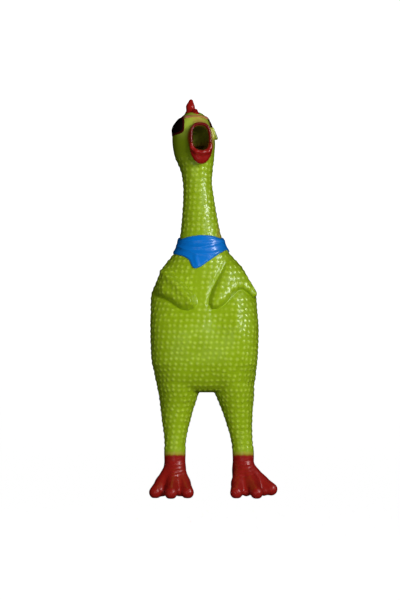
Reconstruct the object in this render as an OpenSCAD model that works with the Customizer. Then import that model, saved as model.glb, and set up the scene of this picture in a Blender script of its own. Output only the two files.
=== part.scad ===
// Hollow soft-vinyl rubber chicken, standing on its feet, with a reed squeaker in its throat.
// Units are millimetres. +Z is up, the chicken faces -Y, and its soles rest on z = 0.
// The skin is one hollow moulding, cut into rigid zones and flexing zones where it bends.
// Left and right are the chicken's own: its left is +X.

/* [Skin] */
// Thickness of the moulded skin
wall = 2.5; // [2:0.1:3]
// Gap round the part of the belly that is squeezed in
belly_gap = 0.6; // [0.4:0.1:1.2]
// Number of facets round the body
facets = 32; // [24:4:36]

/* [Body] */
// Width of the belly at its widest
belly_width = 108; // [102:1:110]
// Depth of the belly, front to back
belly_depth = 70; // [66:1:72]
// Width of the neck at its thinnest
neck_width = 29; // [28:0.5:32]
// Height of the crotch above the soles
crotch_z = 104; // [102:1:106]
// Height of the crown, under the comb
crown_z = 387; // [386:1:390]

/* [Head] */
// How far the head is turned to the chicken's left
head_turn = 12; // [0:1:16]
// How far the open beak is raised
beak_raise = 8; // [0:1:12]
// Width of the mouth cavity
mouth_width = 18; // [16:0.5:19]
// Height of the mouth cavity
mouth_height = 25; // [22:0.5:26]
// Thickness of the comb at its base
comb_thickness = 7; // [5:0.5:9]

/* [Squeaker] */
// Outer diameter of the squeaker tube
tube_d = 18; // [16:0.5:18]
// Length of the squeaker tube
tube_length = 29; // [27:1:30]
// Thickness of the reed
reed_thickness = 0.5; // [0.4:0.1:0.8]

/* [Feet] */
// Height of the red foot, up to the ankle
foot_height = 43; // [40:1:45]
// Radius of a toe near its tip
toe_r = 7; // [6:0.5:7.5]
// Thickness of the sole under the heel
sole_thickness = 4; // [3:0.5:5]

/* [Hidden] */

lime = [0.60, 0.71, 0.16];
red = [0.55, 0.08, 0.07];
blue = [0.02, 0.42, 0.78];
black = [0.04, 0.04, 0.05];
ivory = [0.88, 0.86, 0.80];

// Heights at which the skin is cut into zones
ankle_z = [foot_height, foot_height + 14];
hip_z = [74, 98];
neck_base_z = [264, 292];
nape_z = [312, 334];
ring_step = 9;

// Rows of the trunk, from the crotch to the crown: z, x centre, y centre, half width, half depth
belly_hw = belly_width / 2;
belly_hd = belly_depth / 2;
neck_hw = neck_width / 2;
trunk_rows = [
    [crotch_z, -8.5, 0, belly_hw - 14, 12],
    [crotch_z + 3, -8.5, 0, belly_hw - 9, 19],
    [crotch_z + 8, -8.5, -0.5, belly_hw - 7, belly_hd - 10],
    [124, -9, -2.5, belly_hw - 3.5, belly_hd - 4],
    [146, -9.5, -5, belly_hw - 0.5, belly_hd],
    [168, -9.5, -5, belly_hw, belly_hd - 0.5],
    [186, -9.5, -2.5, belly_hw - 1.5, belly_hd - 3.5],
    [202, -10, -1, belly_hw - 3, belly_hd - 6],
    [216, -10, 0, belly_hw - 9, belly_hd - 8],
    [230, -10.5, 0.5, belly_hw - 17, belly_hd - 10.5],
    [240, -11.5, 1, belly_hw - 24.5, belly_hd - 12.5],
    [250, -12.5, 1, belly_hw - 30.5, belly_hd - 14.5],
    [264, -13.5, 1, belly_hw - 34, belly_hd - 16.5],
    [282, -14.5, 1, neck_hw + 2.8, neck_hw + 2.5],
    [300, -15.5, 1, neck_hw + 0.8, neck_hw + 1],
    [314, -16.5, 1, neck_hw, neck_hw + 0.5],
    [328, -17.5, 1, neck_hw + 1.7, neck_hw + 2],
    [341, -19, 1, neck_hw + 5.5, neck_hw + 5.5],
    [356, -19.5, 1, neck_hw + 7.7, neck_hw + 8.5],
    [370, -20, 2, neck_hw + 6, neck_hw + 8],
    [379, -19.5, 2, neck_hw + 0.5, neck_hw + 3.5],
    [crown_z - 2.5, -19.5, 2, 8, 10],
    [crown_z, -19.5, 2, 0.8, 0.8],
];

// Rows of each leg, from the ankle up into the trunk
right_leg_rows = [
    [foot_height - 1, -39.3, 0, 10.8, 11],
    [54, -39, 0, 11.2, 11.5],
    [64, -38.6, 0, 12.2, 12.5],
    [76, -38, 0, 14.2, 15],
    [88, -37, 0, 16.5, 18],
    [100, -35.8, -0.5, 19.2, 21.5],
    [112, -36.5, -1, 21.5, 25.5],
];
left_leg_rows = [
    [foot_height - 1, 29.6, 0, 10.8, 11],
    [54, 28.2, 0, 11, 11.5],
    [64, 26.8, 0, 11.8, 12.5],
    [76, 25, 0, 13.4, 15],
    [88, 23.2, 0, 15.8, 18],
    [100, 21.3, -0.5, 18.8, 21.5],
    [112, 19.5, -1, 21, 25.5],
];
between_legs_x = -8;

// Head frame: its origin is inside the skull, and its forward is -Y
head_origin = [-19.5, 1, 358];
mouth_y = -30;
mouth_z = -1;
lip_depth = 7;
lining_wall = 1.5;

// Squeaker, upright in the throat
throat = [-17.5, 1];
tube_top = 346;
tube_bore_d = tube_d - 3;
tube_floor = 2;
cap_thickness = 2.5;
reed_bottom = tube_top - tube_length + tube_floor;
reed_length = 21;
reed_width = 8;
reed_gap = 0.5;
clamp_height = 6;

// Belly panel outline, looking along Y
belly_centre = [-9.5, 151];
belly_panel_size = [36, 34];

// Tips of the toes: x and y of each, from the chicken's right to its left
right_toes = [[-57.2, -26], [-43, -33], [-27.5, -27]];
left_toes = [[23.5, -28], [38.5, -33], [57.2, -24]];
heel_y = 13;

// ---- Smooth lofts ----

// Slope of column k at row i
function slope(rows, i, k) =
    let (a = max(i - 1, 0), b = min(i + 1, len(rows) - 1))
    (rows[b][k] - rows[a][k]) / (rows[b][0] - rows[a][0]);

// Cubic through rows i and i + 1 of column k, at height z
function cubic(rows, i, k, z) =
    let (h = rows[i + 1][0] - rows[i][0], t = (z - rows[i][0]) / h)
    rows[i][k] * (2 * pow(t, 3) - 3 * t * t + 1)
    + slope(rows, i, k) * h * (pow(t, 3) - 2 * t * t + t)
    + rows[i + 1][k] * (3 * t * t - 2 * pow(t, 3))
    + slope(rows, i + 1, k) * h * (pow(t, 3) - t * t);

// Row at height z between rows i and i + 1
function row_at(rows, i, z) = [z, for (k = [1 : 4]) cubic(rows, i, k, z)];

// The given rows with more between them, about ring_step apart
function fine_rows(rows) = [
    for (i = [0 : len(rows) - 2])
        let (gap = rows[i + 1][0] - rows[i][0], n = max(1, round(gap / ring_step)))
        for (j = [0 : n - 1]) row_at(rows, i, rows[i][0] + gap * j / n),
    rows[len(rows) - 1],
];

// Rows moved outwards by grow, or inwards where it is negative
function grown(rows, grow) = [
    for (r = rows) [r[0], r[1], r[2], max(r[3] + grow, 0.4), max(r[4] + grow, 0.4)],
];

// A closed tube through rows, with n points round it
module loft(rows, n = facets) {
    rings = len(rows);
    points = [
        for (r = rows)
            for (a = [0 : n - 1])
                [r[1] + r[3] * cos(360 * a / n), r[2] + r[4] * sin(360 * a / n), r[0]],
    ];
    sides = [
        for (r = [0 : rings - 2])
            for (a = [0 : n - 1])
                [r * n + a, (r + 1) * n + a, (r + 1) * n + (a + 1) % n, r * n + (a + 1) % n],
    ];
    bottom = [for (a = [0 : n - 1]) a];
    top = [for (a = [n - 1 : -1 : 0]) (rings - 1) * n + a];
    polyhedron(points, concat(sides, [bottom, top]));
}

// Keeps the result of several mesh operations as one mesh
module one_mesh() {
    resize([0, 0, 0]) children();
}

module slab(z_range) {
    reach = 100;
    translate([-reach, -reach, z_range[0]])
        cube([2 * reach, 2 * reach, z_range[1] - z_range[0]]);
}

// Everything on one side of the line between the legs
module leg_side(side) {
    reach = 100;
    translate([side < 0 ? between_legs_x - reach : between_legs_x, -reach, 0])
        cube([reach, 2 * reach, 2 * reach]);
}

// ---- The moulded skin ----

module trunk(grow = 0) {
    loft(grown(fine_rows(trunk_rows), grow));
}

module legs(grow = 0) {
    for (rows = [left_leg_rows, right_leg_rows])
        loft(grown(fine_rows(rows), grow), facets - 8);
}

module in_head() {
    translate(head_origin) rotate([-beak_raise, 0, head_turn]) children();
}

// An oval plate across the mouth's axis
module oval(half_width, half_height, y, z, thickness = 1) {
    translate([0, y, z])
        scale([half_width, 1, half_height])
            rotate([90, 0, 0]) cylinder(h = thickness, r = 1, center = true, $fn = 28);
}

// The stump of the skull that flares out to the beak
module muzzle(grow = 0) {
    in_head() hull() {
        oval(mouth_width / 2 + 2.5 + grow, mouth_height / 2 + 3 + grow, mouth_y + lip_depth + 0.5, mouth_z);
        translate([0, -2, -3]) scale([18 + grow, 18 + grow, 20 + grow]) sphere(1, $fn = 20);
    }
}

// The open space of the mouth
module mouth_cavity(grow = 0) {
    in_head() hull() {
        oval(mouth_width / 2 + grow, mouth_height / 2 + grow, mouth_y - 8, mouth_z);
        translate([0, -7, -1]) scale([11 + grow, 11 + grow, 12 + grow]) sphere(1, $fn = 20);
    }
}

module skin_outside() {
    trunk();
    legs();
    muzzle();
}

module skin_inside() {
    intersection() {
        trunk(-wall);
        slab([crotch_z + wall, crown_z - 2 * wall]);
    }
    legs(-wall);
    muzzle(-wall);
    mouth_cavity(lining_wall);
}

// The part of the hollow skin between two heights
module skin_zone(z_range) {
    intersection() {
        difference() {
            skin_outside();
            skin_inside();
        }
        slab(z_range);
    }
}

// Straight prism along Y, through the front of the belly
module belly_prism(grow = 0) {
    depth = 60;
    translate([belly_centre[0], -depth, belly_centre[1]])
        scale([belly_panel_size[0] + grow, depth, belly_panel_size[1] + grow])
            rotate([-90, 0, 0]) cylinder(h = 1, r = 1, $fn = 40);
}

module torso_shell() {
    color(lime) one_mesh() difference() {
        skin_zone([hip_z[1], neck_base_z[0]]);
        belly_prism(belly_gap);
    }
}

module belly_panel() {
    color(lime) one_mesh() intersection() {
        skin_zone([hip_z[1], neck_base_z[0]]);
        belly_prism();
    }
}

module neck_base_skin() {
    color(lime) one_mesh() skin_zone(neck_base_z);
}

module neck_shell() {
    color(lime) one_mesh() skin_zone([neck_base_z[1], nape_z[0]]);
}

module nape_skin() {
    color(lime) one_mesh() skin_zone(nape_z);
}

module head_shell() {
    color(lime) one_mesh() skin_zone([nape_z[1], crown_z + 1]);
}

module leg_zone(side, z_range) {
    color(lime) one_mesh() intersection() {
        skin_zone(z_range);
        leg_side(side);
    }
}

// ---- Relief on the body: wings, tail and scarf ----

// A wing folded across the chest, from its shoulder round its elbow to its tip
module wing(shoulder, elbow, tip) {
    color(lime) one_mesh() difference() {
        hull() {
            translate(shoulder) scale([13, 16, 14]) sphere(1, $fn = 20);
            translate(elbow) scale([10, 14, 9]) sphere(1, $fn = 20);
            translate(tip) scale([9, 8, 9]) sphere(1, $fn = 20);
        }
        trunk();
    }
}

module left_wing() {
    wing([21, -4, 226], [31, -6, 209], [3, -27, 197]);
}

module right_wing() {
    wing([-42, -4, 226], [-53, -6, 208], [-29, -26, 198]);
}

module tail() {
    color(lime) one_mesh() difference() {
        hull() {
            translate([belly_centre[0], 24, 130]) sphere(10, $fn = 20);
            translate([belly_centre[0], 36.5, 140]) sphere(4, $fn = 20);
        }
        trunk();
    }
}

scarf_z = [245, 261];
scarf_thickness = 2.2;

// The front of the scarf with its hanging point, looking along Y
module scarf_front() {
    polygon([
        [-42, 261], [-42, 243], [-27, 239], [-22, 230], [-18, 228],
        [-7, 235], [2, 242], [11, 247], [20, 247], [20, 261],
    ]);
}

module scarf() {
    depth = 60;
    color(blue) one_mesh() difference() {
        intersection() {
            trunk(scarf_thickness);
            union() {
                slab(scarf_z);
                rotate([90, 0, 0]) linear_extrude(depth) scarf_front();
            }
        }
        trunk();
    }
}

// ---- Head details ----

module mouth_lining() {
    sleeve_bottom = tube_top - 8;
    color(lime) one_mesh() difference() {
        union() {
            intersection() {
                mouth_cavity(lining_wall);
                in_head() translate([-40, mouth_y + lip_depth, -40]) cube(80);
            }
            at_throat(sleeve_bottom) cylinder(h = 10, d = tube_d + 3, $fn = 32);
        }
        mouth_cavity();
        at_throat(sleeve_bottom - 1) cylinder(h = 10, d = tube_d, $fn = 32);
        at_throat(tube_top - 0.5) cylinder(h = 12, d = tube_d + 1, $fn = 32);
    }
}

// Everything in the head frame between two heights and in front of the muzzle
module beak_zone(z_range) {
    reach = 40;
    translate([-reach, mouth_y - reach, z_range[0]])
        cube([2 * reach, reach + lip_depth, z_range[1] - z_range[0]]);
}

module upper_beak() {
    color(red) one_mesh() difference() {
        in_head() intersection() {
            hull() {
                oval(mouth_width / 2 + 1.6, mouth_height / 2 + 1.6, mouth_y, mouth_z);
                oval(mouth_width / 2 + 3.3, mouth_height / 2 + 3.6, mouth_y + lip_depth, mouth_z);
            }
            beak_zone([-6, 40]);
        }
        mouth_cavity();
    }
}

module lower_beak() {
    color(red) one_mesh() difference() {
        in_head() intersection() {
            hull() {
                oval(mouth_width / 2 + 2.6, mouth_height / 2 + 1, mouth_y - 1, mouth_z - 2);
                oval(mouth_width / 2 + 3.3, mouth_height / 2 + 3.6, mouth_y + lip_depth, mouth_z);
                translate([0, mouth_y + 3, mouth_z - 17]) sphere(4, $fn = 20);
            }
            beak_zone([-40, -6]);
        }
        mouth_cavity();
    }
}

// One lobe of the comb; y is its place along the skull, and it leans back
module comb_lobe(y, height, lean) {
    base_z = 24;
    hull() {
        translate([0, y, base_z]) scale([comb_thickness / 2, 7, 5]) sphere(1, $fn = 16);
        translate([0.5, y + lean, base_z + height - 2]) sphere(2, $fn = 12);
    }
}

module comb() {
    color(red) one_mesh() difference() {
        translate(head_origin) rotate([0, 0, head_turn]) {
            comb_lobe(-9, 11, 1);
            comb_lobe(-1, 18, 2.5);
            comb_lobe(8, 12, 4);
        }
        trunk();
    }
}

lens_size = [20, 17];
lens_side_angle = 55;
eye_z = 13;

// Oval prism that runs out of the skull through one eye
module eye_prism(side, grow = 0) {
    reach = 50;
    in_head() translate([0, 0, eye_z]) rotate([90, 0, side * lens_side_angle])
        scale([lens_size[0] / 2 + grow, lens_size[1] / 2 + grow, 1])
            cylinder(h = reach, r = 1, $fn = 24);
}

// The children's part of a layer laid over the skull
module on_skull(thickness) {
    difference() {
        intersection() {
            union() {
                trunk(thickness);
                muzzle(thickness);
            }
            children();
        }
        trunk();
        muzzle();
    }
}

module lens(side) {
    color(black) one_mesh() on_skull(2.4) eye_prism(side);
}

module glasses_frame() {
    rim_width = 2;
    bridge_height = 4;
    color(red) one_mesh() on_skull(1.8) difference() {
        union() {
            eye_prism(-1, rim_width);
            eye_prism(1, rim_width);
            in_head() translate([-12, -50, eye_z + 2]) cube([24, 50, bridge_height]);
        }
        eye_prism(-1);
        eye_prism(1);
    }
}

// ---- Squeaker ----

module at_throat(z) {
    translate([throat[0], throat[1], z]) children();
}

module squeaker_tube() {
    inlet_d = tube_bore_d - 5;
    color(ivory) at_throat(tube_top - tube_length) difference() {
        cylinder(h = tube_length, d = tube_d, $fn = 64);
        translate([0, 0, tube_floor]) cylinder(h = tube_length, d = tube_bore_d, $fn = 64);
        translate([0, 0, -1]) cylinder(h = tube_floor + 2, d = inlet_d, $fn = 48);
    }
}

module squeaker_cap() {
    outlet_d = 7;
    color(ivory) at_throat(tube_top) difference() {
        cylinder(h = cap_thickness, d = tube_d, $fn = 64);
        translate([0, 0, -1]) cylinder(h = cap_thickness + 2, d = outlet_d, $fn = 48);
    }
}

// Half of the tube's bore on one side of the reed, cut back by gap
module bore_half(height, y_sign, gap) {
    difference() {
        cylinder(h = height, d = tube_bore_d, $fn = 64);
        translate([-tube_d, y_sign > 0 ? gap - 2 * tube_d : -gap, -1])
            cube([2 * tube_d, 2 * tube_d, height + 2]);
    }
}

module reed_seat() {
    seat_height = 22;
    channel_width = reed_width - 3;
    color(ivory) at_throat(reed_bottom) difference() {
        bore_half(seat_height, 1, reed_thickness / 2);
        translate([-tube_d, 0, clamp_height])
            cube([2 * tube_d, reed_thickness / 2 + reed_gap, seat_height]);
        translate([-channel_width / 2, 0, clamp_height]) cube([channel_width, 4, seat_height]);
    }
}

module reed_wedge() {
    color(ivory) at_throat(reed_bottom) bore_half(clamp_height, -1, reed_thickness / 2);
}

module reed_tongue() {
    color(black) at_throat(reed_bottom)
        translate([-reed_width / 2, -reed_thickness / 2, 0])
            cube([reed_width, reed_thickness, reed_length]);
}

// ---- Feet ----

// The outside of a foot: one rounded ridge from the ankle to each toe
module foot_form(ankle, toes) {
    for (toe = toes) hull() {
        translate([ankle[1], ankle[2], foot_height - 1]) cylinder(h = 2, r = ankle[3], $fn = 24);
        translate([ankle[1], heel_y, 8]) sphere(9, $fn = 16);
        translate([(ankle[1] + toe[0]) / 2, toe[1] / 2, 15]) sphere(10, $fn = 16);
        translate([toe[0], toe[1], toe_r - 1]) sphere(toe_r, $fn = 16);
    }
}

// The hollow inside a foot, down to the roots of its toes
module foot_hollow(ankle, toes) {
    hollow_r = 6;
    hull() {
        translate([ankle[1], ankle[2], foot_height - 1]) cylinder(h = 3, r = ankle[3] - wall, $fn = 24);
        translate([ankle[1], heel_y - 2, sole_thickness + hollow_r]) sphere(hollow_r, $fn = 16);
        translate([toes[1][0], toes[1][1] / 2, sole_thickness + hollow_r + 2]) sphere(hollow_r, $fn = 16);
    }
}

// The foot is cut off flat at z = 0, which leaves a sole under the heel and along each toe
module foot(ankle, toes) {
    color(red) difference() {
        one_mesh() difference() {
            foot_form(ankle, toes);
            foot_hollow(ankle, toes);
            slab([foot_height, foot_height + 10]);
        }
        slab([-20, 0]);
    }
}

// ---- Nodes ----

torso_shell();
belly_panel();
tail();
left_wing();
right_wing();
scarf();
neck_base_skin();
neck_shell();
nape_skin();
head_shell();
mouth_lining();
upper_beak();
lower_beak();
comb();
glasses_frame();
lens(1);  // left_lens
lens(-1);  // right_lens
squeaker_tube();
squeaker_cap();
reed_seat();
reed_wedge();
reed_tongue();
leg_zone(1, hip_z);  // left_hip_skin
leg_zone(1, [ankle_z[1], hip_z[0]]);  // left_leg_shell
leg_zone(1, ankle_z);  // left_ankle_skin
foot(left_leg_rows[0], left_toes);  // left_foot
leg_zone(-1, hip_z);  // right_hip_skin
leg_zone(-1, [ankle_z[1], hip_z[0]]);  // right_leg_shell
leg_zone(-1, ankle_z);  // right_ankle_skin
foot(right_leg_rows[0], right_toes);  // right_foot
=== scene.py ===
"""The looks of the rubber chicken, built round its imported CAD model.

Shapes are worked out in millimetres as smooth fields, negative inside the vinyl and positive outside.
Each field is meshed, and the one-piece skin is then shared out between the bodies that carry it.
"""
import math

import bpy
import numpy as np
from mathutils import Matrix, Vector, kdtree


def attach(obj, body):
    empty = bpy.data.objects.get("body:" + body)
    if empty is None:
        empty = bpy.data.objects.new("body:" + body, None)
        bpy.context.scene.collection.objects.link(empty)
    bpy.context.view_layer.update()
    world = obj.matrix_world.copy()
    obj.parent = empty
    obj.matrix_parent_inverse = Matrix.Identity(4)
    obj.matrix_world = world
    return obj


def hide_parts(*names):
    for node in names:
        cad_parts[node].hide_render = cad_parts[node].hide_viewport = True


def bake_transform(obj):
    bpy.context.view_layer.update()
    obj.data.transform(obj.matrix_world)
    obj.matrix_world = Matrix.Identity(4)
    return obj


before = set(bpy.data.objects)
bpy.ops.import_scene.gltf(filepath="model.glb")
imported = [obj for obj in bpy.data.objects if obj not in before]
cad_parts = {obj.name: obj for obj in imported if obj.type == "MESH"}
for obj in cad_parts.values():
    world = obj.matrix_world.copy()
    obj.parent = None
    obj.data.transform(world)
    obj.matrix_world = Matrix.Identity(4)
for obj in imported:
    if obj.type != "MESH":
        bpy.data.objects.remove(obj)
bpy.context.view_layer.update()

MM = 0.001
SKIN_STEP = 0.75
DETAIL_STEP = 0.45

LIME = (0.27, 0.41, 0.005)
# Pale lime for painted highlights: above the mouth, and on the nubs' tops, which are partly rubbed paint
# as well
PALE_LIME_HIGHLIGHT = (0.50, 0.66, 0.07)
FOOT_RED = (0.28, 0.009, 0.006)
BEAK_RED = (0.27, 0.008, 0.006)
COMB_RED = (0.32, 0.008, 0.005)
RIM_RED = (0.06, 0.004, 0.004)
# Painted shade for the lip's sides
PAINTED_SHADE_RED = (0.11, 0.005, 0.004)
# Painted highlight on the glasses' bridge
PAINTED_PINK_HIGHLIGHT = (0.55, 0.18, 0.12)
OLIVE = (0.09, 0.11, 0.004)
TAN = (0.46, 0.25, 0.06)
BLUE = (0.0006, 0.17, 0.62)
MOUTH_GREEN = (0.16, 0.18, 0.012)
MOUTH_BROWN = (0.13, 0.055, 0.007)
BLACK = (0.006, 0.003, 0.003)

# Heights at which the skin is shared out between the bodies
SCARF_CUT = 253
NECK_CUT = 302
HIP_CUT = 98
SHIN_CUT = 66
BETWEEN_LEGS = -8
BELLY_TOP = 187

# The part of the belly that can be squeezed lies in front of a plane that leans with its slope
BELLY_SLOPE = 0.1
BELLY_EDGE = 17

# ---- Camera, light and floor ----

CAMERA_DISTANCE = 2.4
FRAME_HEIGHT = 0.603
FRAME_CENTRE = (-0.014, 0.197)
LIGHT_TARGET = Vector((-0.01, 0, 0.2))


def make_camera():
    data = bpy.data.cameras.new("camera")
    camera = bpy.data.objects.new("camera", data)
    bpy.context.scene.collection.objects.link(camera)
    data.lens = data.sensor_width * CAMERA_DISTANCE / FRAME_HEIGHT
    camera.location = (FRAME_CENTRE[0], -CAMERA_DISTANCE, FRAME_CENTRE[1])
    camera.rotation_euler = (math.radians(90), 0, 0)
    bpy.context.scene.camera = camera


def soft_box(name, azimuth, elevation, distance, size, power, glint=False):
    """An area light that faces the chicken. Azimuth 0 is the camera's side, and +90 is the right.

    A glint light is only seen in reflections, and the others are only seen as diffuse light.
    """
    data = bpy.data.lights.new(name, "AREA")
    data.shape = "RECTANGLE"
    data.size, data.size_y = size
    data.energy = power
    light = bpy.data.objects.new(name, data)
    bpy.context.scene.collection.objects.link(light)
    light.visible_glossy = glint
    light.visible_diffuse = not glint
    turn, lift = math.radians(azimuth), math.radians(elevation)
    away = Vector((math.sin(turn) * math.cos(lift), -math.cos(turn) * math.cos(lift), math.sin(lift)))
    light.location = LIGHT_TARGET + away * distance
    light.rotation_euler = away.to_track_quat("Z", "Y").to_euler()


def make_studio():
    scene = bpy.context.scene
    scene.view_settings.view_transform = "Standard"
    world = bpy.data.worlds.new("world")
    scene.world = world
    world.use_nodes = True
    background = world.node_tree.nodes["Background"]
    background.inputs["Color"].default_value = (1, 1, 1, 1)
    background.inputs["Strength"].default_value = 0.08
    world.cycles_visibility.glossy = False
    soft_box("window", 55, 24, 1.3, (0.26, 0.8), 9, glint=True)
    soft_box("main", 27, 14, 1.6, (0.7, 0.7), 19.5)
    soft_box("fill", -14, -10, 1.6, (0.9, 0.9), 13.5)
    soft_box("back", 180, 15, 1.8, (0.8, 0.8), 16)
    make_backdrop()


def make_backdrop():
    """A pale round floor that sweeps up into a wall all round, behind the camera too."""
    wall, height, radius = 4.5, 5.0, 1.5
    steps, sides = 12, 72
    profile = [(wall - radius, 0.0)]
    for i in range(1, steps + 1):
        turn = math.radians(90 * i / steps)
        profile.append((wall - radius + radius * math.sin(turn), radius - radius * math.cos(turn)))
    profile.append((wall, height))
    turns = [2 * math.pi * i / sides for i in range(sides)]
    points = [(out * math.cos(t), out * math.sin(t), z) for out, z in profile for t in turns]
    faces = [tuple(range(sides))]
    for ring in range(len(profile) - 1):
        for i in range(sides):
            a, b = ring * sides + i, ring * sides + (i + 1) % sides
            faces.append((a, b, b + sides, a + sides))
    mesh = bpy.data.meshes.new("backdrop")
    mesh.from_pydata(points, [], faces)
    for face in mesh.polygons:
        face.use_smooth = True
    backdrop = bpy.data.objects.new("backdrop", mesh)
    bpy.context.scene.collection.objects.link(backdrop)
    backdrop.visible_diffuse = False
    backdrop.visible_glossy = False
    material = new_material("backdrop_paper")
    shader = material.node_tree.nodes["Principled BSDF"]
    shader.inputs["Base Color"].default_value = (0.85, 0.85, 0.85, 1)
    shader.inputs["Roughness"].default_value = 0.9
    shader.inputs["Specular IOR Level"].default_value = 0.1
    shader.inputs["Emission Color"].default_value = (1, 1, 1, 1)
    shader.inputs["Emission Strength"].default_value = 1
    mesh.materials.append(material)


def new_material(name):
    material = bpy.data.materials.new(name)
    material.use_nodes = True
    return material


# ---- Fields ----

# How far apart the rows of a fine table are, and how far from a point its slope is felt for
TABLE_STEP = 1.0
SLOPE_REACH = 0.08


def smooth_min(a, b, width):
    share = np.clip(0.5 + 0.5 * (b - a) / width, 0, 1)
    return b + (a - b) * share - width * share * (1 - share)


def smooth_max(a, b, width):
    return -smooth_min(-a, -b, width)


def ramp(value, low, high):
    """0 at low and 1 at high, with a smooth start and end."""
    t = np.clip((value - low) / (high - low), 0, 1)
    return t * t * (3 - 2 * t)


def bell(value, width):
    return np.exp(-((value / width) ** 2))


def ellipsoid(x, y, z, centre, radii):
    u, v, w = ((value - c) / r for value, c, r in zip((x, y, z), centre, radii))
    near = np.sqrt(u * u + v * v + w * w) + 1e-6
    steep = np.sqrt((u / radii[0]) ** 2 + (v / radii[1]) ** 2 + (w / radii[2]) ** 2) + 1e-6
    return near * (near - 1) / steep


def capsule(x, y, z, a, b):
    """A rod with round ends between a and b, which are each (x, y, z, radius)."""
    ab = [b[i] - a[i] for i in range(3)]
    dx, dy, dz = x - a[0], y - a[1], z - a[2]
    t = np.clip((dx * ab[0] + dy * ab[1] + dz * ab[2]) / sum(v * v for v in ab), 0, 1)
    gap = np.sqrt((dx - t * ab[0]) ** 2 + (dy - t * ab[1]) ** 2 + (dz - t * ab[2]) ** 2)
    return gap - a[3] - t * (b[3] - a[3])


def chain(x, y, z, stops, width):
    """Capsules through the stops, one after the other, run together smoothly."""
    field = capsule(x, y, z, stops[0], stops[1])
    for a, b in zip(stops[1:], stops[2:]):
        field = smooth_min(field, capsule(x, y, z, a, b), width)
    return field


def fine_table(rows):
    """The rows with cubic curves drawn through each column, a row every TABLE_STEP."""
    rows = np.array(rows, float)
    heights = rows[:, 0]
    slopes = np.array([
        (rows[min(i + 1, len(rows) - 1)] - rows[max(i - 1, 0)])[1:]
        / (heights[min(i + 1, len(rows) - 1)] - heights[max(i - 1, 0)])
        for i in range(len(rows))
    ])
    fine = np.arange(heights[0], heights[-1] + TABLE_STEP, TABLE_STEP).clip(heights[0], heights[-1])
    i = np.clip(np.searchsorted(heights, fine, "right") - 1, 0, len(rows) - 2)
    gap = (heights[i + 1] - heights[i])[:, None]
    t = (fine[:, None] - heights[i][:, None]) / gap
    columns = (
        rows[i, 1:] * (2 * t ** 3 - 3 * t ** 2 + 1)
        + slopes[i] * gap * (t ** 3 - 2 * t ** 2 + t)
        + rows[i + 1, 1:] * (3 * t ** 2 - 2 * t ** 3)
        + slopes[i + 1] * gap * (t ** 3 - t ** 2)
    )
    return fine, columns.T


def oval_gap(u, v, hw, hd, power=2):
    """About how far a place is outside an oval. A higher power gives it squarer corners."""
    u, v = np.abs(u / hw), np.abs(v / hd)
    out = (u ** power + v ** power) ** (1 / power) + 1e-6
    steep = np.hypot(u ** (power - 1) / hw, v ** (power - 1) / hd) / out ** (power - 1) + 1e-6
    return (out - 1) / steep


def loft(rows):
    """The field of an oval tube. A row is height, x centre, y centre, half width, half depth."""
    heights, columns = fine_table(rows)

    def field(x, y, z, power=2):
        cx, cy, hw, hd = (np.interp(z, heights, column) for column in columns)
        return oval_gap(x - cx, y - cy, hw, hd, power)

    return field


# ---- The chicken's form ----

trunk_form = loft([
    (104, -8.5, 0, 38, 12), (107, -8.5, 0, 42, 19), (112, -8.5, -0.5, 46, 24.5),
    (124, -9, -2.5, 50.5, 29.5), (138, -9.5, -4.5, 53, 33), (168, -9.5, -5, 54, 34.2),
    (186, -10, -2.5, 53.3, 31.5), (202, -10.5, -1, 52.3, 29), (214, -10.7, 0, 47.6, 27),
    (230, -11.5, 0.5, 39.5, 24.5), (240, -12, 1, 31, 22.5), (250, -12.5, 1, 23.5, 20.5),
    (264, -13.5, 1, 20, 18.5), (282, -14.5, 1, 17.3, 17), (300, -15.5, 1, 15.3, 15.5),
    (314, -16.5, 1, 14.5, 15), (328, -17.5, 1, 16.2, 16.5), (341, -19.5, 1, 19.8, 20),
    (356, -20.5, 1, 21.3, 22.5), (370, -21.5, 2, 19, 22), (379, -20.5, 2, 14, 18),
    (384.5, -20, 2, 8, 10), (387, -20, 2, 0.8, 0.8),
])
right_leg_loft = loft([
    (28, -39.3, 0, 8.8, 9.2), (40, -39.3, 0, 10, 10.4), (54, -39, 0, 10.6, 11.2),
    (64, -38.6, 0, 11.8, 12.3), (76, -38, 0, 14.2, 15), (88, -37, 0, 16.5, 18),
    (100, -35.8, -0.5, 19.2, 22), (112, -35.5, -1, 21.5, 26), (126, -32, -2, 22, 28.5),
    (142, -27, -3, 16, 25),
])
left_leg_loft = loft([
    (28, 29.6, 0, 8.8, 9.2), (40, 29.6, 0, 10, 10.4), (54, 28.2, 0, 10.5, 11.2),
    (64, 26.8, 0, 11.5, 12.3), (76, 25, 0, 13.4, 15), (88, 23.2, 0, 15.8, 18),
    (100, 21.3, -0.5, 18.8, 22), (112, 19, -1, 21, 26), (126, 15, -2, 22, 28.5),
    (142, 10, -3, 16, 25),
])
CROTCH = 104.5
CROWN = 387
LEG_BOTTOM, LEG_TOP = 29, 142

# Heights between which each form can touch the skin. It is left out of the sum elsewhere.
FOOT_SPAN = (-math.inf, 60)
LEG_SPAN = (-math.inf, 145)
TAIL_SPAN = (110, 160)
WING_SPAN = (180, 250)
MUZZLE_SPAN = (320, math.inf)
MOUTH_SPAN = (335, math.inf)


def trunk(x, y, z):
    """The body, neck and skull. Seen from above, the body is squarer than an oval."""
    return trunk_form(x, y, z, 2 + 1.2 * ramp(z, 208, 170) * ramp(z, 108, 135))


# The head's own frame: where it starts, its turn towards +x and the upward tilt of its beak
HEAD = (-19.5, 1, 358)
TURN = math.radians(12)
RAISE = math.radians(8)

# The middle of the mouth's opening in that frame, and how square its oval is
MOUTH_Y, MOUTH_Z = -30, -4
MOUTH_POWER = 2.6

# The hole in the mouth's floor for the squeaker's cap: its centre, radius, bottom and top
THROAT = (-17.5, 1)
THROAT_RADIUS = 9.4
THROAT_Z = (347, 351.5)

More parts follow.
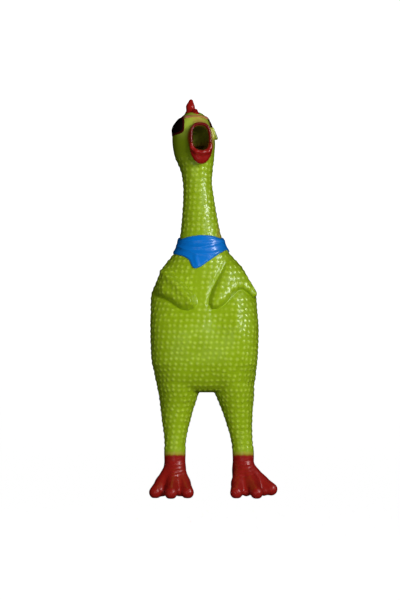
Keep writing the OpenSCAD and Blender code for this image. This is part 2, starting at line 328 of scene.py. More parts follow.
# The middles of the ankles, and the tips of the toes: x, y and z of each
LEFT_ANKLE_X, RIGHT_ANKLE_X = 29.4, -39.2
LEFT_TOES = [(22.2, -28, 5.7), (42.2, -32.5, 5.9), (57, -17, 8.2)]
RIGHT_TOES = [(-58.4, -25, 5.7), (-42.8, -33.5, 5.7), (-26.4, -27, 5.7)]


def head_coords(x, y, z, raise_angle=RAISE):
    """Places in the head's own frame: u to its left, v to its back and w up."""
    dx, dy, dz = x - HEAD[0], y - HEAD[1], z - HEAD[2]
    across = dx * math.cos(TURN) + dy * math.sin(TURN)
    along = dy * math.cos(TURN) - dx * math.sin(TURN)
    return (
        across,
        along * math.cos(raise_angle) - dz * math.sin(raise_angle),
        along * math.sin(raise_angle) + dz * math.cos(raise_angle),
    )


muzzle_loft = loft([
    (-8, 0, -3, 8, 8), (-2, 0, -3, 15.5, 16), (6, 0, -3, 16.5, 18), (14, 0, -3, 15, 17.3),
    (21, 0, -3.5, 12.8, 16), (30, 0, MOUTH_Z, 11.3, 15.4),
])
mouth_loft = loft([
    (-7, 0, -1, 2, 2), (-4, 0, -1, 7, 7), (2, 0, -1, 9.5, 10), (12, 0, -1.3, 9.8, 11),
    (24, 0, MOUTH_Z, 8.6, 12.5), (34, 0, MOUTH_Z, 8.4, 13), (44, 0, MOUTH_Z, 9.2, 14),
])


def muzzle(x, y, z):
    """The front of the face, cut off flat at the mouth's opening."""
    u, v, w = head_coords(x, y, z)
    return smooth_max(np.maximum(muzzle_loft(u, w, -v), v - 8), MOUTH_Y + 1.5 - v, 1.5)


def mouth(x, y, z):
    """The open space of the mouth, with the hole in its floor that the squeaker's cap sits in."""
    u, v, w = head_coords(x, y, z)
    cavity = np.maximum(mouth_loft(u, w, -v, MOUTH_POWER), v - 7)
    hole = np.hypot(x - THROAT[0], y - THROAT[1]) - THROAT_RADIUS
    hole = np.maximum(hole, np.maximum(THROAT_Z[0] - z, z - THROAT_Z[1]))
    return smooth_min(cavity, hole, 1.5)


def depth_inside(x, z, outline):
    """How far inside the outline each place is, seen from the front. Outside it is negative."""
    nearest, inside = 1e6, False
    for (ax, az), (bx, bz) in zip(outline, outline[1:] + outline[:1]):
        dx, dz = bx - ax, bz - az
        t = np.clip(((x - ax) * dx + (z - az) * dz) / (dx * dx + dz * dz), 0, 1)
        nearest = np.minimum(nearest, np.hypot(x - ax - t * dx, z - az - t * dz))
        slope = dx / dz if dz else 0
        inside = inside ^ (((az > z) != (bz > z)) & (x < ax + slope * (z - az)))
    return np.where(inside, nearest, -nearest)


# Edges of the wings, seen from the front: x and z. A wing's sharp outline is its fold over the belly.
LEFT_WING = [
    (14, 238), (9, 227), (4, 218), (-1, 208), (-4, 200), (-5, 193), (-2, 188.5), (4, 189), (11, 194),
    (19, 203), (24, 207.5), (29, 208), (34, 204.5), (39, 199), (60, 196), (60, 250), (20, 250),
]
RIGHT_WING = [
    (-80, 204), (-60, 203), (-46, 197.5), (-33, 188.5), (-26, 187), (-20, 189), (-16, 195), (-16, 260),
    (-80, 260),
]
RIGHT_WING_RIDGE = [
    (-80, 175), (-17, 175), (-17, 192), (-22, 201), (-36, 216.5), (-50, 229), (-80, 245),
]


def pillow(depth, width):
    """0 outside an outline, rising steeply inside it and flattening off to 1."""
    t = np.clip((depth + 0.5) / width, 0, 1)
    return 1 - (1 - t) ** 2.2


def wing_relief(x, y, z):
    """How far the wings stand out from the chest, with a groove where they fold over it."""
    left_depth = depth_inside(x, z, LEFT_WING)
    left = 5.5 * pillow(left_depth, 8) * ramp(z, 250, 203)
    groove = 1.3 * bell(left_depth + 1.2, 2) * ramp(z, 240, 226)
    right_depth = depth_inside(x, z, RIGHT_WING)
    ridge_depth = depth_inside(x, z, RIGHT_WING_RIDGE)
    right = 7 * pillow(right_depth, 9) * ramp(ridge_depth, -4, 3.5) * ramp(z, 250, 208)
    groove = groove + 1.1 * bell(right_depth + 1.2, 2) * ramp(ridge_depth, 0, 6)
    right = right + 2.6 * bell(ridge_depth - 4, 4.5) * ramp(right_depth, 0, 7) * ramp(z, 240, 224)
    right = right * ramp(x, -64, -50)
    return (left + right - groove) * ramp(-y, 2, 15)


def tail(x, y, z):
    return capsule(x, y, z, (-9.5, 24, 130, 11), (-9.5, 36, 140, 4))


def spot(x, z, centre, widths, height):
    """A soft mound, seen from the front."""
    return height * np.exp(-(((x - centre[0]) / widths[0]) ** 2) - ((z - centre[1]) / widths[1]) ** 2)


def dents(x, y, z):
    """How far the soft belly is pushed in, seen from the front. Where it bulges, this is negative."""
    depth = spot(x, z, (2, 168), (11, 18), 3)
    depth = depth - spot(x, z, (24, 176), (8, 22), 2.6)
    depth = depth + spot(x, z, (-15, 143), (14, 14), 1.2)
    depth = depth - spot(x, z, (-28, 160), (10, 18), 1)
    return depth * ramp(-y, 0, 12)


def foot(x, y, z, ankle_x, toes):
    """An ankle and a heel, with toes and the webs between them."""
    heel = capsule(x, y, z, (ankle_x, 2, 26, 10), (ankle_x, 13, 8.6, 9))
    field = smooth_min(capsule(x, y, z, (ankle_x, 0, 44, 10.4), (ankle_x, 1, 12, 10.5)), heel, 4)
    tips = []
    for tx, ty, tz in toes:
        knuckle = (ankle_x + 0.62 * (tx - ankle_x), 0.5 * ty, 13.8 + 0.3 * (tz - 6), 7.4)
        tip = (tx, ty, tz, 6.3)
        tips.append(tip)
        field = smooth_min(field, chain(x, y, z, [(ankle_x, -1, 31, 9), knuckle, tip], 3), 2.5)
    for a, b in zip(tips, tips[1:]):
        between = tuple((p + q) / 2 for p, q in zip(a[:3], b[:3]))
        web = (between[0], between[1] + 7, 6.2, 4.6)
        root = (ankle_x + 0.5 * (between[0] - ankle_x), 0.4 * between[1], 14, 7.4)
        field = smooth_min(field, capsule(x, y, z, root, web), 3)
    return field


def wrinkles(x, y, z, ankle_x):
    """Fine creases across the instep, each a shallow arc."""
    depth = 0
    for i in range(6):
        middle = 39 - 3.6 * i
        depth = depth + bell(z - middle - 0.02 * (x - ankle_x) ** 2, 0.8)
    return 0.45 * depth * ramp(-y, 2, 8) * bell(x - ankle_x, 9)


def reaches(z, span):
    return z.max() > span[0] and z.min() < span[1]


def body(x, y, z):
    """The whole skin as a solid, before the mouth is opened."""
    field = smooth_max(trunk(x, y, z), CROTCH - z, 4)
    field = np.maximum(field, z - CROWN) + dents(x, y, z)
    if reaches(z, WING_SPAN):
        field = field - wing_relief(x, y, z)
    if reaches(z, TAIL_SPAN):
        field = smooth_min(field, tail(x, y, z), 4)
    if reaches(z, LEG_SPAN):
        for leg in (left_leg_loft, right_leg_loft):
            stump = np.maximum(leg(x, y, z), np.maximum(z - LEG_TOP, LEG_BOTTOM - z))
            field = smooth_min(field, stump, 3 + 5 * ramp(z, 105, 120))
    if reaches(z, FOOT_SPAN):
        for ankle_x, toes in ((LEFT_ANKLE_X, LEFT_TOES), (RIGHT_ANKLE_X, RIGHT_TOES)):
            paw = foot(x, y, z, ankle_x, toes) + wrinkles(x, y, z, ankle_x)
            field = smooth_min(field, paw, 2)
        field = smooth_max(field, -z, 0.8)
    if reaches(z, MUZZLE_SPAN):
        field = smooth_min(field, muzzle(x, y, z), 6)
        field = smooth_min(field, capsule(x, y, z, (-1.6, -8, 368, 2), (2.2, -8, 359, 1.8)), 2)
    return field


def skin(x, y, z):
    """The whole skin as a solid, with the mouth open."""
    field = body(x, y, z)
    if reaches(z, MOUTH_SPAN):
        field = smooth_max(field, -mouth(x, y, z), 1)
    return field


# ---- Meshing ----

# How many layers of a grid are worked out at a time
LAYERS = 24


def surface_nets(field, low, high, step):
    """Quads round the zero surface of field, one point in each cell that the surface crosses."""
    axes = [np.arange(low[i], high[i] + step, step, dtype=np.float32) for i in range(3)]
    values = np.empty([len(a) for a in axes], np.float32)
    for start in range(0, len(axes[2]), LAYERS):
        z = axes[2][None, None, start:start + LAYERS]
        values[:, :, start:start + LAYERS] = field(axes[0][:, None, None], axes[1][None, :, None], z)
    inside = values < 0
    count = np.zeros([n - 1 for n in inside.shape], np.int8)
    for i in (0, 1):
        for j in (0, 1):
            for k in (0, 1):
                nx, ny, nz = count.shape
                count += inside[i:i + nx, j:j + ny, k:k + nz]
    active = (count > 0) & (count < 8)
    cells = np.argwhere(active)
    number = np.full(active.shape, -1, np.int64)
    number[active] = np.arange(len(cells))
    total, hits = np.zeros((len(cells), 3)), np.zeros(len(cells))
    for axis in range(3):
        first, second = [a for a in range(3) if a != axis]
        for i in (0, 1):
            for j in (0, 1):
                a = cells.copy()
                a[:, first] += i
                a[:, second] += j
                b = a.copy()
                b[:, axis] += 1
                fa, fb = values[tuple(a.T)], values[tuple(b.T)]
                crossed = (fa < 0) != (fb < 0)
                point = a[crossed].astype(float)
                point[:, axis] += fa[crossed] / (fa[crossed] - fb[crossed])
                total[crossed] += point
                hits[crossed] += 1
    points = np.array(low) + step * total / hits[:, None]
    quads = []
    for axis in range(3):
        u = np.eye(3, dtype=int)[(axis + 1) % 3]
        v = np.eye(3, dtype=int)[(axis + 2) % 3]
        lower = inside.take(range(inside.shape[axis] - 1), axis)
        upper = inside.take(range(1, inside.shape[axis]), axis)
        edges = np.argwhere(lower != upper)
        room = np.array(count.shape)
        keep = np.all((edges - u - v >= 0) & (edges < room), axis=1)
        edges = edges[keep]
        ring = np.stack([number[tuple((edges - back).T)] for back in (u + v, v, 0, u)], 1)
        outward = lower[tuple(edges.T)]
        ring[~outward] = ring[~outward][:, ::-1]
        quads.append(ring)
    return points, np.concatenate(quads)


def gradient(field, points):
    """The slope of field at each point, along x, y and z."""
    slopes = []
    for axis in range(3):
        offset = np.zeros(3)
        offset[axis] = SLOPE_REACH
        slopes.append(field(*(points + offset).T) - field(*(points - offset).T))
    return np.stack(slopes, 1) / (2 * SLOPE_REACH)


def settle(field, points, limit):
    """Moves points onto the zero surface of field, in two steps of at most limit along each axis."""
    for _ in range(2):
        slope = gradient(field, points)
        move = field(*points.T)[:, None] * slope / ((slope ** 2).sum(1)[:, None] + 1e-6)
        points = points - np.clip(move, -limit, limit)
    return points


def spread(points, quads):
    """Evens out the spacing of the points: each moves halfway to the middle of its neighbours."""
    a = quads.ravel()
    b = np.roll(quads, -1, axis=1).ravel()
    pairs = np.unique(np.sort(np.stack([a, b], 1), axis=1), axis=0)
    start, end = np.concatenate([pairs, pairs[:, ::-1]]).T
    count = np.bincount(start, minlength=len(points))[:, None]
    middle = np.stack([np.bincount(start, points[end, i], len(points)) for i in range(3)], 1)
    return 0.5 * points + 0.5 * middle / np.maximum(count, 1)


def solid(field, low, high, step):
    """A smooth closed mesh of field inside the box from low to high: its points and its quads."""
    points, quads = surface_nets(field, low, high, step)
    for _ in range(2):
        points = spread(points, quads)
        points = settle(field, points, step)
    return points, quads


def vertex_normals(points, quads):
    across = points[quads[:, 2]] - points[quads[:, 0]]
    along = points[quads[:, 3]] - points[quads[:, 1]]
    face = np.cross(across, along)
    total = np.stack([
        sum(np.bincount(quads[:, k], face[:, i], len(points)) for k in range(4)) for i in range(3)
    ], 1)
    return total / (np.linalg.norm(total, axis=1)[:, None] + 1e-12)


def piece(name, points, quads, normals, colours, material):
    """An object from the quads given, with only the points that they use."""
    used, quads = np.unique(quads, return_inverse=True)
    quads = quads.reshape(-1, 4)
    mesh = bpy.data.meshes.new(name)
    mesh.vertices.add(len(used))
    mesh.vertices.foreach_set("co", (points[used] * MM).astype(np.float32).ravel())
    mesh.loops.add(quads.size)
    mesh.loops.foreach_set("vertex_index", quads.ravel().astype(np.int32))
    mesh.polygons.add(len(quads))
    mesh.polygons.foreach_set("loop_start", np.arange(0, quads.size, 4, dtype=np.int32))
    mesh.update(calc_edges=True)
    mesh.polygons.foreach_set("use_smooth", np.ones(len(quads), bool))
    paint = mesh.color_attributes.new("paint", "FLOAT_COLOR", "POINT")
    rgba = np.ones((len(used), 4), np.float32)
    rgba[:, :3] = colours[used]
    paint.data.foreach_set("color", rgba.ravel())
    mesh.normals_split_custom_set_from_vertices(normals[used])
    mesh.materials.append(material)
    obj = bpy.data.objects.new(name, mesh)
    bpy.context.scene.collection.objects.link(obj)
    return obj


def painted(points, colour):
    return np.tile(np.array(colour, float), (len(points), 1))


def mixed(colours, other, share):
    share = np.asarray(share)[:, None]
    return colours * (1 - share) + np.array(other, float) * share


# ---- Nubs ----

NUB_PITCH = 5.5
NUB_RADIUS = 2.6
NUB_HEIGHT = 0.55
NUB_JITTER = 0.5
NUB_SEED = 11

# How many rays feel for the skin at each height
RAYS = 240


def outline_points(centres, heights, reach):
    """Where rays from outside meet the skin, for each height: an array of heights by rays by xyz."""
    turn = np.linspace(-0.5 * math.pi, 1.5 * math.pi, RAYS, endpoint=False)[None, :, None]
    radius = np.arange(reach, 3, -1.5)[None, None, :]
    cx, cy = centres[:, 0, None, None], centres[:, 1, None, None]
    z = heights[:, None, None] + 0 * turn + 0 * radius
    inside = body(cx + radius * np.cos(turn), cy + radius * np.sin(turn), z) < 0
    first = inside.argmax(2)
    outer = radius[0, 0, np.maximum(first - 1, 0)]
    inner = radius[0, 0, first]
    turn, cx, cy, z = turn[:, :, 0], cx[:, :, 0], cy[:, :, 0], z[:, :, 0]
    for _ in range(12):
        middle = (outer + inner) / 2
        hit = body(cx + middle * np.cos(turn), cy + middle * np.sin(turn), z) < 0
        inner = np.where(hit, middle, inner)
        outer = np.where(hit, outer, middle)
    return np.stack([cx + inner * np.cos(turn), cy + inner * np.sin(turn), z], 2)


def nub_rows(centre_at, low, high, reach):
    """Nubs in rows round one tube of the skin, evenly spaced along its surface from the front."""
    heights = np.arange(low, high, 1.0)
    outlines = outline_points(np.array([centre_at(z) for z in heights]), heights, reach)
    climb = np.median(np.linalg.norm(np.diff(outlines, axis=0), axis=2), axis=1)
    travelled = np.concatenate([[0], np.cumsum(climb)])
    rows = np.interp(np.arange(NUB_PITCH / 2, travelled[-1], NUB_PITCH), travelled, heights)
    outlines = outline_points(np.array([centre_at(z) for z in rows]), rows, reach)
    nubs = []
    for row, outline in enumerate(outlines):
        loop = np.vstack([outline, outline[:1]])
        length = np.concatenate([[0], np.cumsum(np.linalg.norm(np.diff(loop, axis=0), axis=1))])
        number = int(round(length[-1] / NUB_PITCH))
        wanted = (np.arange(number) + 0.15 * row % 1) * length[-1] / number
        nubs.append(np.stack([np.interp(wanted, length, loop[:, i]) for i in range(3)], 1))
    return np.concatenate(nubs)


def all_nubs():
    """The middles of all nubs. The centres that the rays run in to follow the trunk and the legs."""
    def trunk_centre(z):
        return np.interp(z, [104, 250, 341, 384], [-9, -12.5, -19, -19.5]), 0.5

    def left_centre(z):
        return np.interp(z, [40, 100], [29.6, 21.3]), 0

    def right_centre(z):
        return np.interp(z, [40, 100], [-39.3, -35.8]), 0

    nubs = [nub_rows(trunk_centre, 105, 374, 76)]
    nubs += [nub_rows(centre, 46, 105, 24) for centre in (left_centre, right_centre)]
    nubs = np.concatenate(nubs)
    return nubs + np.random.default_rng(NUB_SEED).normal(0, NUB_JITTER, nubs.shape)


def nub_strength(points):
    """1 where the nubs are full, 0 on the head and the feet and along the wings' folds."""
    x, y, z = points.T
    folds = [bell(depth_inside(x, z, wing) + 0.5, 2.6) for wing in (LEFT_WING, RIGHT_WING)]
    folds = 1 - np.maximum(*folds) * ramp(-y, 2, 10)
    return folds * ramp(z, 348, 332) * ramp(z, 43, 47)


def nub_profile(points, nubs):
    """How far up a nub each point is, from 0 between nubs to 1 on a nub's top."""
    tree = kdtree.KDTree(len(nubs))
    for i, nub in enumerate(nubs):
        tree.insert(nub, i)
    tree.balance()
    away = np.array([tree.find(point)[2] for point in points])
    return 0.5 + 0.5 * np.cos(math.pi * np.clip(away / NUB_RADIUS, 0, 1))


# ---- Materials ----


def vinyl(name, roughness, coat, mottling=0.12):
    """Glossy vinyl in the colours painted on the mesh, a little uneven, with a fine moulded grain."""
    material = new_material(name)
    nodes, links = material.node_tree.nodes, material.node_tree.links
    shader = nodes["Principled BSDF"]
    shader.inputs["Coat Weight"].default_value = coat
    shader.inputs["Coat Roughness"].default_value = 0.12
    shader.inputs["Specular IOR Level"].default_value = 0.5
    paint = nodes.new("ShaderNodeAttribute")
    paint.attribute_name = "paint"
    place = nodes.new("ShaderNodeTexCoord")
    cloud = nodes.new("ShaderNodeTexNoise")
    cloud.inputs["Scale"].default_value = 45
    cloud.inputs["Detail"].default_value = 4
    shade = nodes.new("ShaderNodeMapRange")
    shade.inputs["To Min"].default_value = 1 - mottling
    shade.inputs["To Max"].default_value = 1 + mottling
    tint = nodes.new("ShaderNodeVectorMath")
    tint.operation = "SCALE"
    gloss = nodes.new("ShaderNodeMapRange")
    gloss.inputs["To Min"].default_value = roughness * 0.8
    gloss.inputs["To Max"].default_value = roughness * 1.25
    fine = nodes.new("ShaderNodeTexNoise")
    fine.inputs["Scale"].default_value = 900
    fine.inputs["Detail"].default_value = 3
    bump = nodes.new("ShaderNodeBump")
    bump.inputs["Strength"].default_value = 0.15
    bump.inputs["Distance"].default_value = 0.0002
    links.new(place.outputs["Object"], cloud.inputs["Vector"])
    links.new(place.outputs["Object"], fine.inputs["Vector"])
    links.new(cloud.outputs["Fac"], shade.inputs["Value"])
    links.new(paint.outputs["Color"], tint.inputs["Vector"])
    links.new(shade.outputs["Result"], tint.inputs["Scale"])
    links.new(tint.outputs["Vector"], shader.inputs["Base Color"])
    links.new(cloud.outputs["Fac"], gloss.inputs["Value"])
    links.new(gloss.outputs["Result"], shader.inputs["Roughness"])
    links.new(fine.outputs["Fac"], bump.inputs["Height"])
    links.new(bump.outputs["Normal"], shader.inputs["Normal"])
    return material


def plastic(name, colour, roughness):
    """Moulded plastic with a fine grain and slightly uneven gloss."""
    material = new_material(name)
    nodes, links = material.node_tree.nodes, material.node_tree.links
    shader = nodes["Principled BSDF"]
    place = nodes.new("ShaderNodeTexCoord")
    cloud = nodes.new("ShaderNodeTexNoise")
    cloud.inputs["Scale"].default_value = 120
    colours = nodes.new("ShaderNodeMix")
    colours.data_type = "RGBA"
    colours.inputs["A"].default_value = (*[c * 0.85 for c in colour], 1)
    colours.inputs["B"].default_value = (*colour, 1)
    gloss = nodes.new("ShaderNodeMapRange")
    gloss.inputs["To Min"].default_value = roughness * 0.8
    gloss.inputs["To Max"].default_value = roughness * 1.2
    bump = nodes.new("ShaderNodeBump")
    bump.inputs["Strength"].default_value = 0.1
    bump.inputs["Distance"].default_value = 0.0001
    links.new(place.outputs["Object"], cloud.inputs["Vector"])
    links.new(cloud.outputs["Fac"], colours.inputs["Factor"])
    links.new(colours.outputs["Result"], shader.inputs["Base Color"])
    links.new(cloud.outputs["Fac"], gloss.inputs["Value"])
    links.new(gloss.outputs["Result"], shader.inputs["Roughness"])
    links.new(cloud.outputs["Fac"], bump.inputs["Height"])
    links.new(bump.outputs["Normal"], shader.inputs["Normal"])
    return material


# ---- Skin ----

# The box that the skin is meshed in
SKIN_LOW = (-67, -44, -1.5)
SKIN_HIGH = (67, 43, 389)


def skin_colours(points, nub):
    """Lime with paler nub tops, painted shade on the left cheek and neck, a painted highlight above the
    mouth, and paint on the face, over the scarf's left end and on the feet.
    """
    x, y, z = points.T
    u, v, w = head_coords(x, y, z)
    colours = painted(points, LIME)
    # The nubs' tops are paler: partly a painted highlight, partly rubbed paint
    colours = mixed(colours, PALE_LIME_HIGHLIGHT, 0.75 * nub)

    face = ramp(-v, 8, 16)
    ring = np.hypot(u / 11.5, (w - MOUTH_Z) / 15)
    # Painted highlight: the upper face above the mouth is painted paler where the light falls on it
    painted_brow_highlight = face * ramp(w, -6, 4) * ramp(w, 30, 24)
    # Painted shade: olive on the left cheek and down the neck below the head
    painted_cheek_shade = ramp(z, 300, 340) * ramp(-u, 2, 13) * ramp(w, 10, 4)
    round_mouth = face * bell(ring - 1.2, 0.35) * ramp(2 * u + w, -8, 14)
    lobe = ramp(x, 0, 2) * ramp(z, 353, 356) * ramp(z, 372, 366)
    behind_lip = ramp(-v, 22, 27) * ramp(ring, 1.3, 1.05)
    over_scarf = bell(z - 262, 9) * ramp(x, 1, 5)
    for paint, share in (
        (PALE_LIME_HIGHLIGHT, 0.7 * painted_brow_highlight), (OLIVE, 0.5 * painted_cheek_shade), (TAN, 0.8 * round_mouth),
        (OLIVE, 0.7 * lobe), (BEAK_RED, 0.9 * behind_lip), (TAN, 0.5 * over_scarf),
    ):
        colours = mixed(colours, paint, share)

    edge = z + 0.25 * np.sin(x) + 0.2 * np.sin(0.7 * y)
    colours = mixed(colours, TAN, 0.45 * bell(edge - 43.5, 1.6))
    return mixed(colours, FOOT_RED, ramp(edge, 43.6, 40.4))


def mouth_colours(points):
    """Green at the top of the mouth, and brown at its floor."""
    w = head_coords(*points.T)[2]
    return mixed(painted(points, MOUTH_GREEN), MOUTH_BROWN, ramp(w, 2, -9))


def make_skin():
    """The one-piece skin, shared out by height and place: each piece of it by its name."""
    lime = vinyl("lime_vinyl", 0.3, 0.35)
    feet = vinyl("red_foot_vinyl", 0.34, 0.12)
    inner = vinyl("mouth_vinyl", 0.5, 0)
    points, quads = solid(skin, SKIN_LOW, SKIN_HIGH, SKIN_STEP)
    normals = gradient(skin, points)
    normals /= np.linalg.norm(normals, axis=1)[:, None]
    nub = nub_profile(points, all_nubs()) * nub_strength(points)
    in_mouth = (np.abs(mouth(*points.T)) < 0.6) & (head_coords(*points.T)[1] > MOUTH_Y + 2)
    nub[in_mouth] = 0
    points = points + normals * (NUB_HEIGHT * nub)[:, None]
    normals = vertex_normals(points, quads)
    colours = skin_colours(points, nub)
    colours[in_mouth] = mouth_colours(points[in_mouth])

    middle = points[quads].mean(1)
    x, y, z = middle.T
    lining = in_mouth[quads].all(1)
    belly = (-y - BELLY_SLOPE * z > BELLY_EDGE) & (z > HIP_CUT) & (z < BELLY_TOP)
    zones = {
        "mouth_lining": lining,
        "belly_skin": belly,
        "head_skin": (z > NECK_CUT) & ~lining,
        "neck_skin": (z > SCARF_CUT) & (z <= NECK_CUT),
        "torso_skin": (z > HIP_CUT) & (z <= SCARF_CUT) & ~belly,
        "left_leg_skin": (z > SHIN_CUT) & (z <= HIP_CUT) & (x > BETWEEN_LEGS),
        "right_leg_skin": (z > SHIN_CUT) & (z <= HIP_CUT) & (x <= BETWEEN_LEGS),
        "left_foot_skin": (z <= SHIN_CUT) & (x > BETWEEN_LEGS),
        "right_foot_skin": (z <= SHIN_CUT) & (x <= BETWEEN_LEGS),
    }
    coats = {"mouth_lining": inner, "left_foot_skin": feet, "right_foot_skin": feet}
    return {
        name: piece(name, points, quads[chosen], normals, colours, coats.get(name, lime))
        for name, chosen in zones.items()
    }


def carry_skin(made):
    """Each part of the skin rides on its body, or is left in place with its transform applied.

    The belly's piece starts in front of its rim, so that the rim stays on the torso.
    """
    def bend(name):
        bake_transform(made[name])

    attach(made["torso_skin"], "torso")
    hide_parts("torso_shell", "tail", "left_wing", "right_wing")
    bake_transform(made["belly_skin"])
    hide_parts("belly_panel")
    bend("neck_skin")
    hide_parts("neck_base_skin", "neck_shell")
    bend("head_skin")
    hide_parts("nape_skin", "head_shell")
    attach(made["mouth_lining"], "head")
    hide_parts("mouth_lining")
    for side in ("left", "right"):
        bend(f"{side}_leg_skin")
        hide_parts(f"{side}_hip_skin", f"{side}_leg_shell")
        bend(f"{side}_foot_skin")
        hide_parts(f"{side}_ankle_skin", f"{side}_foot")


# ---- Scarf ----

# The scarf's edges in front, each as x and z. The bottom one runs down to a hanging point.
SCARF_TOP = [(-40, 256), (-33, 258), (-25, 260.5), (-14, 262), (-2, 261.5), (6, 259), (14, 257)]
SCARF_BOTTOM = [
    (-40, 243), (-31, 240.5), (-26, 238), (-23.5, 234), (-22, 229.5), (-19, 228), (-13.5, 230),
    (-7, 234.5), (3, 241.5), (12, 247), (16, 247),
]
# The heights of its two edges at the back, bottom and top
SCARF_BACK = (245, 260)
SCARF_THICKNESS = 2.4


def edge_height(x, edge, back_height, y):
    """The height of one edge of the scarf, and how much longer its slope makes it."""
    xs, zs = np.array(edge, float).T
    fine = np.linspace(xs[0], xs[-1], 120)
    height = np.interp(fine, xs, zs)
    height[2:-2] = np.convolve(height, np.ones(5) / 5, "valid")
    front = np.interp(x, fine, height)
    slope = np.interp(x, fine, np.gradient(height, fine))
    share = ramp(y, -6, 4)
    return front * (1 - share) + back_height * share, np.sqrt(1 + (slope * (1 - share)) ** 2)


def scarf_folds(x, y, z):
    """Soft ridges: three that sweep across the scarf, and one that runs down to its point."""
    front = ramp(-y, -2, 8)
    sweep = bell(z - 250 - 0.10 * (x + 14) - 0.006 * (x + 14) ** 2, 1.9)
    lower = bell(z - 243.5 + 0.12 * (x + 14) - 0.010 * (x + 14) ** 2, 1.7)
    upper = bell(z - 256.5 - 0.03 * (x + 14), 1.8)
    point = bell(x + 17.5 + 0.25 * (z - 236), 2.4) * ramp(z, 246, 238)
    return (0.9 * sweep + 0.7 * lower + 0.8 * upper + 0.9 * point) * front


def scarf(x, y, z):
    """A sleeve of cloth on the skin, between its two edges."""
    skin_gap = trunk(x, y, z)
    top, top_steep = edge_height(x, SCARF_TOP, SCARF_BACK[1], y)
    bottom, bottom_steep = edge_height(x, SCARF_BOTTOM, SCARF_BACK[0], y)
    outer = skin_gap - SCARF_THICKNESS - scarf_folds(x, y, z)
    field = smooth_max(outer, (z - top) / top_steep, 2.5)
    field = smooth_max(field, (bottom - z) / bottom_steep, 2.5)
    return np.maximum(field, -skin_gap - 1)


def make_scarf():
    points, quads = solid(scarf, (-45, -28, 224), (18, 28, 266), DETAIL_STEP)
    colours = painted(points, BLUE)
    material = vinyl("blue_vinyl", 0.32, 0.4)
    obj = piece("scarf_cloth_relief", points, quads, vertex_normals(points, quads), colours, material)
    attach(obj, "torso")
    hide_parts("scarf")


# ---- Head details ----

# Where the two halves of the beak meet, in the head's own frame
LIP_CORNER_Z = -9


def comb(x, y, z):
    """A ridge along the crown, with a tall lobe between two low ones. It does not tilt with the beak."""
    u, v, w = head_coords(x, y, z, raise_angle=0)
    ridge = chain(u, v, w, [(0.2, -8, 24, 3.6), (-2.4, 4, 26, 4.4), (-3.4, 14, 24, 4.4)], 2)
    tall = chain(u, v, w, [(-2.8, 4, 27, 4.6), (-3, 6, 33.5, 3.8), (-2.2, 7, 39, 2.3)], 3)
    front = capsule(u, v, w, (-0.5, -5, 25, 3.4), (0.3, -4, 29, 1.9))
    back = capsule(u, v, w, (-3, 13, 25, 3.8), (-2.8, 15, 33, 2.1))
    field = smooth_min(smooth_min(ridge, tall, 3), smooth_min(front, back, 2), 3)
    return np.maximum(field, -trunk(x, y, z) - 1.5)


def upper_beak(x, y, z):
    """A rounded lip along the edge of the mouth, down to the corners of the lower beak."""
    u, v, w = head_coords(x, y, z)
    gap = oval_gap(u, w - MOUTH_Z, 9.8, 14.4, MOUTH_POWER)
    lip = np.hypot(gap, (v - MOUTH_Y - 1) * 0.8) - 1.5
    return smooth_max(lip, LIP_CORNER_Z - w, 1)


def lower_beak(x, y, z):
    """A scoop under the mouth. Its lip sweeps up to a corner on each side."""
    u, v, w = head_coords(x, y, z)
    lip = chain(u, v, w, [
        (-9.9, -29, -8, 1.4), (-9.4, -29.2, -14, 1.5), (-5, -30.2, -18, 1.8), (1.5, -30.6, -19, 1.8),
        (7.5, -30.2, -17.6, 1.8), (10, -29.2, -13.5, 1.5), (9.9, -29, -8, 1.4),
    ], 1.5)
    scoop = ellipsoid(u, v, w, (1, -24.5, -9), (12, 6.8, 20.5))
    scoop = smooth_max(scoop, w + 16 - 0.06 * (u - 1.5) ** 2, 1.5)
    field = smooth_max(smooth_min(lip, scoop, 3), w - LIP_CORNER_Z, 1)
    return smooth_max(field, -mouth(x, y, z) - 0.3, 1)


def eye_patch(u, v, w, side, grow):
    """A rounded patch on one side of the skull, over the eye."""
    ends = smooth_max(np.abs(w - 12.8) - 8 - grow, v - 2 - grow, 4)
    return smooth_max(ends, 15 - grow - side * u - 0.1 * (w - 13), 4)


def skull(x, y, z):
    return smooth_min(trunk(x, y, z), muzzle(x, y, z), 6)


def lens(side):
    """The field of the chicken's left lens for side 1, or of its right one for side -1."""
    def field(x, y, z):
        u, v, w = head_coords(x, y, z)
        gap = skull(x, y, z)
        thick = 0.5 + ramp(w, 5, 11)
        return np.maximum(smooth_max(gap - thick, eye_patch(u, v, w, side, -0.1), 1.5), -gap - 1)
    return field


def glasses(x, y, z):
    """Two rims, the bridge between them and an arm from each, all moulded on the skull."""
    u, v, w = head_coords(x, y, z)
    gap = skull(x, y, z)
    rims = np.minimum(eye_patch(u, v, w + 0.7, -1, 1.3), eye_patch(u, v, w + 0.7, 1, 1.3))
    holes = np.minimum(eye_patch(u, v, w, -1, -0.4), eye_patch(u, v, w, 1, -0.4))
    bridge = smooth_max(smooth_max(np.abs(u) - 14, np.abs(w - 20.5) - 1.7, 1), v, 1)
    arms = smooth_max(smooth_max(10 - np.abs(u), np.abs(w - 15) - 1.6, 1), np.abs(v - 7) - 7, 1)
    shape = smooth_max(smooth_min(rims, np.minimum(bridge, arms), 1), -holes, 0.6)
    return np.maximum(smooth_max(gap - 0.7 - ramp(w, 5, 11), shape, 1.2), -gap - 1)


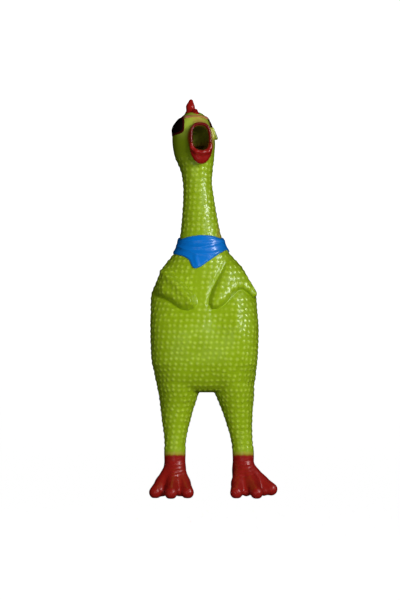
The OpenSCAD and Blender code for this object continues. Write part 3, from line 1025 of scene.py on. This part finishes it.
def rim_colours(points):
    """Dark rims. The bridge is tan, with a painted pink highlight towards each end."""
    u, v = head_coords(*points.T)[:2]
    bridge = mixed(painted(points, TAN), PAINTED_PINK_HIGHLIGHT, bell(np.abs(u) - 10, 2.2))
    return mixed(bridge, RIM_RED, 1 - ramp(np.abs(u), 14, 11) * ramp(v, 2, -2))


def lip_colours(points):
    """The lip's sides are painted darker than its front edge: painted shade where the light grazes them.
    """
    w = head_coords(*points.T)[2]
    return mixed(painted(points, BEAK_RED), PAINTED_SHADE_RED, 0.7 * ramp(w, -17, -8))


def relief(name, field, low, high, colour, material, body_name, node):
    """Meshes a field and paints it. The colour is one for all of it, or a function of its points."""
    points, quads = solid(field, low, high, DETAIL_STEP)
    colours = colour(points) if callable(colour) else painted(points, colour)
    obj = piece(name, points, quads, vertex_normals(points, quads), colours, material)
    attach(obj, body_name)
    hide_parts(node)


def make_head_details():
    red = vinyl("red_vinyl", 0.3, 0.25)
    black = vinyl("black_vinyl", 0.16, 0.6, mottling=0.3)
    low, high = (-50, -46, 325), (15, 30, 400)
    comb_low, comb_high = (-34, -20, 374), (-8, 26, 401)
    relief("comb_relief", comb, comb_low, comb_high, COMB_RED, red, "head", "comb")
    relief("upper_lip", upper_beak, low, high, lip_colours, red, "head", "upper_beak")
    relief("lower_lip", lower_beak, low, high, BEAK_RED, red, "head", "lower_beak")
    relief("glasses_rim", glasses, low, high, rim_colours, red, "head", "glasses_frame")
    relief("left_lens_relief", lens(1), low, high, BLACK, black, "head", "left_lens")
    relief(
        "right_lens_relief", lens(-1), low, high, BLACK, black, "head", "right_lens"
    )


def finish_squeaker():
    """The squeaker keeps the shapes of its CAD pieces, in plastic."""
    ivory = plastic("squeaker_plastic", (0.75, 0.72, 0.62), 0.4)
    film = plastic("reed_film", (0.02, 0.02, 0.025), 0.25)
    dark = plastic("squeaker_cap_plastic", (0.05, 0.05, 0.01), 0.6)
    coats = {
        "squeaker_tube": ivory, "squeaker_cap": dark, "reed_seat": ivory, "reed_wedge": ivory,
        "reed_tongue": film,
    }
    for name, material in coats.items():
        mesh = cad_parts[name].data
        mesh.materials.clear()
        mesh.materials.append(material)


make_camera()
make_studio()
carry_skin(make_skin())
make_scarf()
make_head_details()
finish_squeaker()
